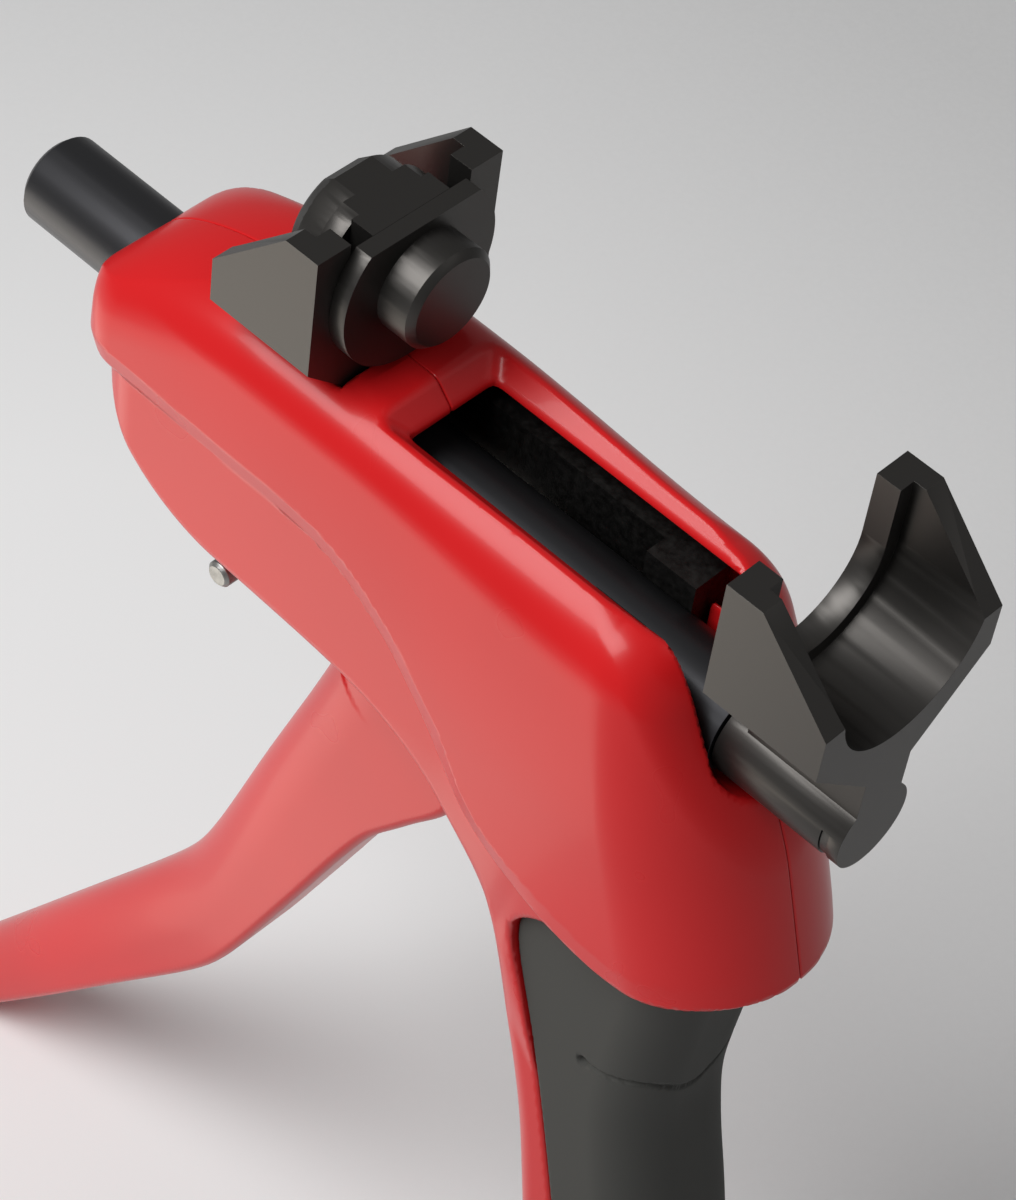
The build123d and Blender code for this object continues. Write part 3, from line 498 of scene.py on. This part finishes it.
def sleeve_field(x, y, z):
    """Rubber on the front and sides of the grip, with a fine groove below the nose."""
    grip = grip_field(x, y, z)
    body = both(grip, rubber_zone(x, y, z) + 0.05, 0.6)
    body = both(body, GRIP_END - z, 1.2)
    level, _ = GROOVE.both(np.abs(y))
    level = z - level + 0.22 * np.maximum(79.0 - x, 0)
    line = np.maximum(np.hypot(grip, level) - GROOVE_R, GROOVE_X - x)
    dot = np.sqrt((x - GROOVE_X) ** 2 + level**2 + grip**2) - GROOVE_DOT_R
    body = less(body, np.minimum(line, dot), 0.3)
    return both(body, -(grip + RUBBER), 0.3)


def lever_field(x, y, z):
    """Squeeze lever: a bent bar that widens towards its root, pocketed for the steel arm."""
    rear, rear_slope = LEVER_REAR.both(z)
    front, front_slope = LEVER_FRONT.both(z)
    along = -(x - PIVOT_X) * sin(LEVER_LEAN) - (z - PIVOT_Z) * cos(LEVER_LEAN)
    across = (x - PIVOT_X) * cos(LEVER_LEAN) - (z - PIVOT_Z) * sin(LEVER_LEAN)
    root = 1.0 - ease(along, LEVER_STEP - 0.6, LEVER_STEP + 0.6)
    behind = (rear - x) / np.sqrt(1 + rear_slope**2) + root
    ahead = (x - front) / np.sqrt(1 + front_slope**2)
    side = np.abs(y) - LEVER_HALF
    body = both(both(behind * BACK_FLATTEN, side, BACK_R), both(ahead, side, 2.0), 0.1)
    body = both(body, LEVER_ROOT - along, 1.0)
    tail = -(x - TAIL_X) * sin(TAIL_LEAN) - (z - TAIL_Z) * cos(TAIL_LEAN)
    body = both(body, tail, 5.0)
    pocket = np.maximum(np.abs(across) - ARM_HALF_WIDTH, np.abs(y) - ARM_HALF_THICK)
    body = less(body, np.maximum(pocket, along - ARM_REACH), 0.3)
    for reach in RIVETS:
        hole = np.maximum(np.hypot(along - reach, across) - RIVET_R, -RIVET_DEPTH - y)
        body = less(body, hole, 0.2)
    return body


class Nodes:
    """Node tree of one finish, with its shader ready."""

    def __init__(self, name):
        """Starts a material with a principled shader."""
        self.material = bpy.data.materials.new(name)
        self.material.use_nodes = True
        self.tree = self.material.node_tree
        self.shader = next(n for n in self.tree.nodes if n.type == "BSDF_PRINCIPLED")
        self.place = self.node("ShaderNodeTexCoord").outputs["Object"]

    def node(self, kind, **values):
        """New node with its inputs and settings given by name."""
        made = self.tree.nodes.new(kind)
        for key, value in values.items():
            socket = made.inputs.get(key.replace("_", " "))
            if socket is None:
                setattr(made, key, value)
            elif hasattr(value, "is_output"):
                self.tree.links.new(value, socket)
            else:
                socket.default_value = value
        return made

    def noise(self, scale, detail=3.0, rough=0.55):
        """Noise over the surface, scale in features per metre."""
        made = self.node("ShaderNodeTexNoise", Scale=scale, Detail=detail, Roughness=rough, Vector=self.place)
        return made.outputs["Fac"]

    def span(self, value, low, high, out_low, out_high):
        """Value carried from one range to another and held there."""
        made = self.node("ShaderNodeMapRange")
        self.tree.links.new(value, made.inputs["Value"])
        for key, number in (("From Min", low), ("From Max", high), ("To Min", out_low), ("To Max", out_high)):
            made.inputs[key].default_value = number
        return made.outputs["Result"]

    def mix(self, share, one, two):
        """Colour between two others."""
        made = self.node("ShaderNodeMix", data_type="RGBA")
        self.tree.links.new(share, made.inputs[0])
        for socket, value in ((made.inputs[6], one), (made.inputs[7], two)):
            if hasattr(value, "is_output"):
                self.tree.links.new(value, socket)
            else:
                socket.default_value = (*value, 1)
        return made.outputs[2]

    def times(self, one, two):
        """Product of two values."""
        made = self.node("ShaderNodeMath", operation="MULTIPLY")
        self.tree.links.new(one, made.inputs[0])
        self.tree.links.new(two, made.inputs[1])
        return made.outputs[0]

    def bump(self, height, strength, distance):
        """Fine relief on the surface."""
        made = self.node("ShaderNodeBump", Strength=strength, Distance=distance)
        self.tree.links.new(height, made.inputs["Height"])
        self.tree.links.new(made.outputs["Normal"], self.shader.inputs["Normal"])

    def edges(self, radius):
        """One on sharp edges and zero on open faces."""
        soft = self.node("ShaderNodeBevel", samples=4, Radius=radius)
        face = self.node("ShaderNodeNewGeometry")
        dot = self.node("ShaderNodeVectorMath", operation="DOT_PRODUCT")
        self.tree.links.new(soft.outputs["Normal"], dot.inputs[0])
        self.tree.links.new(face.outputs["Normal"], dot.inputs[1])
        return self.span(dot.outputs["Value"], 0.99, 0.8, 0.0, 1.0)

    def feed(self, **sockets):
        """Links or sets the shader's own inputs."""
        for key, value in sockets.items():
            socket = self.shader.inputs[key.replace("_", " ")]
            if hasattr(value, "is_output"):
                self.tree.links.new(value, socket)
            else:
                socket.default_value = value
        return self.material


def red_coat(colour):
    """Gloss red coat, a little deeper and duller in places."""
    coat = Nodes("red_coat")
    patch = coat.span(coat.noise(22, 1), 0.05, 0.95, 0.0, 1.0)
    deep = tuple(c * 0.82 for c in colour)
    tone = coat.mix(patch, deep, colour)
    rough = coat.span(coat.noise(45, 2), 0.1, 0.9, 0.268, 0.289)
    return coat.feed(Base_Color=tone, Roughness=rough, IOR=1.34, Coat_Weight=0.1, Coat_Roughness=0.08)


def black_steel(colour, worn):
    """Black oxide on steel, brighter where edges and faces are rubbed."""
    oxide = Nodes("black_oxide")
    cloud = oxide.span(oxide.noise(140, 6), 0.3, 0.75, 0.0, 1.0)
    light = tuple(min(1.0, c * 1.45) for c in colour)
    tone = oxide.mix(cloud, tuple(c * 0.75 for c in colour), light)
    stretch = oxide.node("ShaderNodeMapping", Scale=(2600.0, 260.0, 420.0), Vector=oxide.place)
    hair = oxide.node("ShaderNodeTexNoise", Scale=1.0, Detail=2.0, Vector=stretch.outputs["Vector"])
    hair = oxide.span(hair.outputs["Fac"], 0.68, 0.76, 0.0, 1.0)
    place = oxide.span(oxide.noise(90, 2), 0.5, 0.62, 0.0, 0.6)
    tone = oxide.mix(oxide.times(hair, place), tone, worn)
    grain = oxide.span(oxide.noise(700, 4), 0.36, 0.6, 0.15, 1.0)
    rubbed = oxide.times(oxide.edges(0.0008), grain)
    tone = oxide.mix(rubbed, tone, worn)
    rough = oxide.span(oxide.noise(300, 5), 0.3, 0.7, 0.44, 0.62)
    oxide.bump(oxide.noise(2600, 3), 0.16, 0.0002)
    return oxide.feed(Base_Color=tone, Metallic=0.25, Roughness=rough)


def dark_rod(colour):
    """Blackened ground bar with fine marks along its length."""
    rod = Nodes("dark_rod")
    stretch = rod.node("ShaderNodeMapping", Scale=(60.0, 900.0, 900.0), Vector=rod.place)
    streak = rod.node("ShaderNodeTexNoise", Scale=1.0, Detail=4.0, Vector=stretch.outputs["Vector"])
    streak = streak.outputs["Fac"]
    light = tuple(c * 2.0 for c in colour)
    tone = rod.mix(rod.span(streak, 0.35, 0.7, 0.0, 1.0), colour, light)
    rough = rod.span(streak, 0.3, 0.7, 0.34, 0.5)
    rod.bump(streak, 0.06, 0.0002)
    return rod.feed(Base_Color=tone, Metallic=0.25, Roughness=rough)


def grip_rubber(colour):
    """Charcoal rubber with a fine even grain."""
    rubber = Nodes("grip_rubber")
    cloud = rubber.span(rubber.noise(60, 4), 0.3, 0.7, 0.0, 1.0)
    tone = rubber.mix(cloud, colour, tuple(c * 1.5 for c in colour))
    rough = rubber.span(rubber.noise(400, 3), 0.3, 0.7, 0.52, 0.68)
    rubber.bump(rubber.noise(2200, 3), 0.22, 0.0002)
    return rubber.feed(Base_Color=tone, Roughness=rough, IOR=1.48)


def plain_steel(name, colour, roughness):
    """Machined metal with a light grain."""
    steel = Nodes(name)
    cloud = steel.span(steel.noise(180, 5), 0.3, 0.7, 0.0, 1.0)
    tone = steel.mix(cloud, colour, tuple(c * 0.7 for c in colour))
    rough = steel.span(steel.noise(700, 4), 0.3, 0.7, roughness * 0.8, roughness * 1.25)
    steel.bump(steel.noise(1800, 3), 0.08, 0.0002)
    return steel.feed(Base_Color=tone, Metallic=1.0, Roughness=rough)


def dress(piece, material):
    """Gives a piece one finish."""
    piece.data.materials.clear()
    piece.data.materials.append(material)


def break_edges(node, width):
    """Small rounded edges on a CAD node, so that they catch the light."""
    piece = frame["nodes"][node]
    weld = piece.modifiers.new("join", "WELD")
    weld.merge_threshold = 0.00001
    bevel = piece.modifiers.new("edge_break", "BEVEL")
    bevel.width = width
    bevel.segments = 2
    bevel.limit_method = "ANGLE"
    bevel.angle_limit = radians(40)
    bevel.harden_normals = True


def finish_of(key, maker, *values):
    """One shared material per finish."""
    return bpy.data.materials.get(key) or maker(*values)


class PressToolLooks(bpy.types.PropertyGroup):
    """Sizes and colours of the dressed tool."""

    red: bpy.props.FloatVectorProperty(
        name="Coat", description="Colour of the shells and the lever", subtype="COLOR", size=3, min=0, max=1,
        default=(0.62, 0.011, 0.013),
    )
    steel: bpy.props.FloatVectorProperty(
        name="Jaws", description="Colour of the black oxide on the jaws", subtype="COLOR", size=3, min=0, max=1,
        default=(0.11, 0.102, 0.094),
    )
    worn: bpy.props.FloatVectorProperty(
        name="Worn edge", description="Colour of rubbed edges of the jaws", subtype="COLOR", size=3, min=0, max=1,
        default=(0.5, 0.46, 0.42),
    )
    rod: bpy.props.FloatVectorProperty(
        name="Rod", description="Colour of the press rod", subtype="COLOR", size=3, min=0, max=1,
        default=(0.15, 0.143, 0.13),
    )
    rubber: bpy.props.FloatVectorProperty(
        name="Rubber", description="Colour of the grip", subtype="COLOR", size=3, min=0, max=1,
        default=(0.0155, 0.0135, 0.0125),
    )
    mesh_step: bpy.props.FloatProperty(
        name="Mesh step", description="Spacing of the mesh of the moulded pieces, in mm", default=0.9, min=0.4, max=3,
    )
    edge: bpy.props.FloatProperty(
        name="Edge break", description="Rounding of the edges of the jaws", subtype="DISTANCE", unit="LENGTH",
        default=0.0005, min=0, max=0.002,
    )


class PRESS_OT_shells(bpy.types.Operator):
    """Builds the two halves of the red housing"""

    bl_idname = "press.shells"
    bl_label = "Shells"

    def execute(self, context):
        """Moulds each half and puts it in place of its solid."""
        looks = context.scene.press_tool
        step = looks.mesh_step
        coat = finish_of("red_coat", red_coat, looks.red)
        low = (REAR_X - 1, -SIDE_HALF - 1, GRIP_END - 1)
        high = (112, 1, TOP_Z + 1)
        right = moulded("right_skin", right_shell_field, low, high, step)
        low = (REAR_X - 1, -1, GRIP_END - 1)
        high = (112, SIDE_HALF + 1, TOP_Z + 1)
        left = moulded("left_skin", left_shell_field, low, high, step)
        for piece, node in ((right, "right_shell"), (left, "left_shell")):
            dress(piece, coat)
            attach(piece, "housing")
            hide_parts(node)
        return {"FINISHED"}


class PRESS_OT_lever(bpy.types.Operator):
    """Builds the red squeeze lever"""

    bl_idname = "press.lever"
    bl_label = "Lever"

    def execute(self, context):
        """Moulds the lever and puts it in place of its solid."""
        looks = context.scene.press_tool
        low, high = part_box("lever")
        piece = moulded(
            "lever_skin", lever_field, [v / MM - 2 for v in low], [v / MM + 4 for v in high], looks.mesh_step
        )
        dress(piece, finish_of("red_coat", red_coat, looks.red))
        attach(piece, "lever")
        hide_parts("lever")
        return {"FINISHED"}


class PRESS_OT_grip(bpy.types.Operator):
    """Builds the rubber of the grip"""

    bl_idname = "press.grip"
    bl_label = "Rubber grip"

    def execute(self, context):
        """Moulds the sleeve and puts it in place of its solid."""
        looks = context.scene.press_tool
        low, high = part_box("grip_sleeve")
        piece = moulded(
            "grip_skin", sleeve_field, [v / MM - 2 for v in low], [v / MM + 2 for v in high], looks.mesh_step * 0.8
        )
        dress(piece, finish_of("grip_rubber", grip_rubber, looks.rubber))
        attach(piece, "housing")
        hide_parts("grip_sleeve")
        return {"FINISHED"}


class PRESS_OT_jaws(bpy.types.Operator):
    """Finishes the jaws, the insert and the rod"""

    bl_idname = "press.jaws"
    bl_label = "Jaws and rod"

    def execute(self, context):
        """Breaks the edges of the forks and gives them their finish."""
        looks = context.scene.press_tool
        oxide = finish_of("black_oxide", black_steel, looks.steel, looks.worn)
        for node in ("fixed_jaw", "moving_jaw", "jaw_insert"):
            break_edges(node, looks.edge)
            dress(frame["nodes"][node], oxide)
        dress(frame["nodes"]["press_rod"], finish_of("dark_rod", dark_rod, looks.rod))
        break_edges("press_rod", looks.edge / 2)
        spring = finish_of("spring_steel", plain_steel, "spring_steel", (0.09, 0.088, 0.085), 0.45)
        dress(frame["nodes"]["jaw_clip"], spring)
        return {"FINISHED"}


class PRESS_OT_works(bpy.types.Operator):
    """Finishes the steel, bronze and rubber pieces of the mechanism"""

    bl_idname = "press.works"
    bl_label = "Mechanism"

    def execute(self, context):
        """Gives each remaining node the finish of its kind."""
        steel = finish_of("machined_steel", plain_steel, "machined_steel", (0.42, 0.42, 0.42), 0.38)
        zinc = finish_of("zinc_plate", plain_steel, "zinc_plate", (0.36, 0.36, 0.35), 0.42)
        bronze = finish_of("bronze", plain_steel, "bronze", (0.45, 0.3, 0.14), 0.45)
        seal = finish_of("grip_rubber", grip_rubber, context.scene.press_tool.rubber)
        kinds = {"bronze": bronze, "zinc": zinc, "seal": seal, "bare_steel": steel}
        for entry in frame["record"]["subparts"]:
            if entry["material_slot"] in kinds and entry["node"] != "jaw_clip":
                dress(frame["nodes"][entry["node"]], kinds[entry["material_slot"]])
        # Painted shade: the chassis, front bush and jaw screws get steel darkened to near black, standing in for the
        # shade inside the housing where the chassis shows down the slot.
        dark = finish_of("oiled_steel", plain_steel, "oiled_steel", (0.05, 0.048, 0.046), 0.5)
        for node in ("chassis", "front_bush", "jaw_screws"):
            dress(frame["nodes"][node], dark)
        for node in ("release_bar", "release_stem", "shell_screws"):
            break_edges(node, 0.0004)
        return {"FINISHED"}


def soft_lamp(name, place, target, size, watts, tint=(1, 1, 1)):
    """Large square lamp that faces a point, itself out of the picture."""
    lamp = bpy.data.lights.new(name, "AREA")
    lamp.energy = watts
    lamp.size = size
    lamp.color = tint
    holder = bpy.data.objects.new(name, lamp)
    holder.location = place
    holder.rotation_euler = (Vector(target) - Vector(place)).to_track_quat("-Z", "Y").to_euler()
    holder.visible_camera = False
    bpy.context.scene.collection.objects.link(holder)


SENSOR_MM = 36.0
LENS_MM = 114.02
CAMERA_AT = (0.2744, -0.3236, 0.4108)
CAMERA_RIGHT = (0.7127, 0.6938, 0.1035)
CAMERA_UP = (-0.5753, 0.4937, 0.6516)
CAMERA_BACK = (0.401, -0.524, 0.751)
FLOOR_DROP = 0.002
FLOOR_HALF = 4
LOW_LAMP_AT = (-0.29, -0.31)


class PRESS_OT_stage(bpy.types.Operator):
    """Sets up the floor, the lamps and the camera"""

    bl_idname = "press.stage"
    bl_label = "Stage"

    def execute(self, context):
        """Pale floor, soft light and the camera at the viewing angle of the picture."""
        scene = context.scene
        scene.view_settings.view_transform = "Standard"
        lens = bpy.data.cameras.new("camera")
        lens.sensor_width = SENSOR_MM
        lens.lens = LENS_MM
        lens.clip_start = 0.01
        lens.clip_end = 50
        camera = bpy.data.objects.new("camera", lens)
        turn = Matrix((CAMERA_RIGHT, CAMERA_UP, CAMERA_BACK)).transposed().to_4x4()
        camera.matrix_world = Matrix.Translation(CAMERA_AT) @ turn
        scene.collection.objects.link(camera)
        scene.camera = camera
        level = cad_box[0].z - FLOOR_DROP
        mesh = bpy.data.meshes.new("floor")
        corners = [(x * FLOOR_HALF, y * FLOOR_HALF, level) for x, y in ((-1, -1), (1, -1), (1, 1), (-1, 1))]
        mesh.from_pydata(corners, [], [(0, 1, 2, 3)])
        floor = bpy.data.objects.new("floor", mesh)
        scene.collection.objects.link(floor)
        paper = Nodes("paper")
        # Painted pool of light: the floor is painted brighter, up to 0.9 grey, around one spot and fades to the plain
        # grey further out.
        shift = paper.node("ShaderNodeMapping", Location=(0.15, -0.06, 0.3), Vector=paper.place)
        far = paper.node("ShaderNodeVectorMath", operation="LENGTH")
        paper.tree.links.new(shift.outputs["Vector"], far.inputs[0])
        painted_light_pool = paper.span(far.outputs["Value"], 0.08, 0.36, 1.0, 0.0)
        grain = paper.span(paper.noise(600, 3), 0.3, 0.7, 0.0, 1.0)
        grey = paper.mix(grain, (0.69, 0.69, 0.69), (0.71, 0.71, 0.71))
        tone = paper.mix(painted_light_pool, grey, (0.9, 0.9, 0.9))
        dress(floor, paper.feed(Base_Color=tone, Roughness=0.9))
        world = bpy.data.worlds.new("studio")
        scene.world = world
        world.use_nodes = True
        sky = world.node_tree.nodes["Background"]
        sky.inputs["Color"].default_value = (1, 1, 1, 1)
        sky.inputs["Strength"].default_value = 0.2
        aim = (0.02, 0.0, -0.06)
        soft_lamp("key", (-0.35, -0.75, 1.0), aim, 0.9, 20)
        soft_lamp("fill", (0.9, 0.5, 0.9), aim, 0.8, 0.7)
        warm = (1.0, 0.91, 0.78)
        soft_lamp("low", (*LOW_LAMP_AT, level + 0.004), (*LOW_LAMP_AT, 1.0), 0.5, 1.0, warm)
        return {"FINISHED"}


class PRESS_PT_panel(bpy.types.Panel):
    """Sidebar panel with the steps of the tool"""

    bl_idname = "PRESS_PT_panel"
    bl_label = "Press tool"
    bl_space_type = "VIEW_3D"
    bl_region_type = "UI"
    bl_category = "Press tool"

    def draw(self, context):
        """Lists the settings and the operators."""
        looks = context.scene.press_tool
        for name in ("red", "steel", "worn", "rod", "rubber", "mesh_step", "edge"):
            self.layout.prop(looks, name)
        for step in STEPS:
            self.layout.operator(step.bl_idname)


STEPS = (PRESS_OT_stage, PRESS_OT_shells, PRESS_OT_lever, PRESS_OT_grip, PRESS_OT_jaws, PRESS_OT_works)
CLASSES = (PressToolLooks, *STEPS, PRESS_PT_panel)


def register():
    """Adds the classes and the settings of the scene."""
    for kind in CLASSES:
        bpy.utils.register_class(kind)
    bpy.types.Scene.press_tool = bpy.props.PointerProperty(type=PressToolLooks)


def unregister():
    """Takes them away again."""
    del bpy.types.Scene.press_tool
    for kind in reversed(CLASSES):
        bpy.utils.unregister_class(kind)


def main():
    """Runs every step in order."""
    register()
    bpy.ops.press.stage()
    bpy.ops.press.shells()
    bpy.ops.press.lever()
    bpy.ops.press.grip()
    bpy.ops.press.jaws()
    bpy.ops.press.works()


if __name__ == "__main__":
    main()
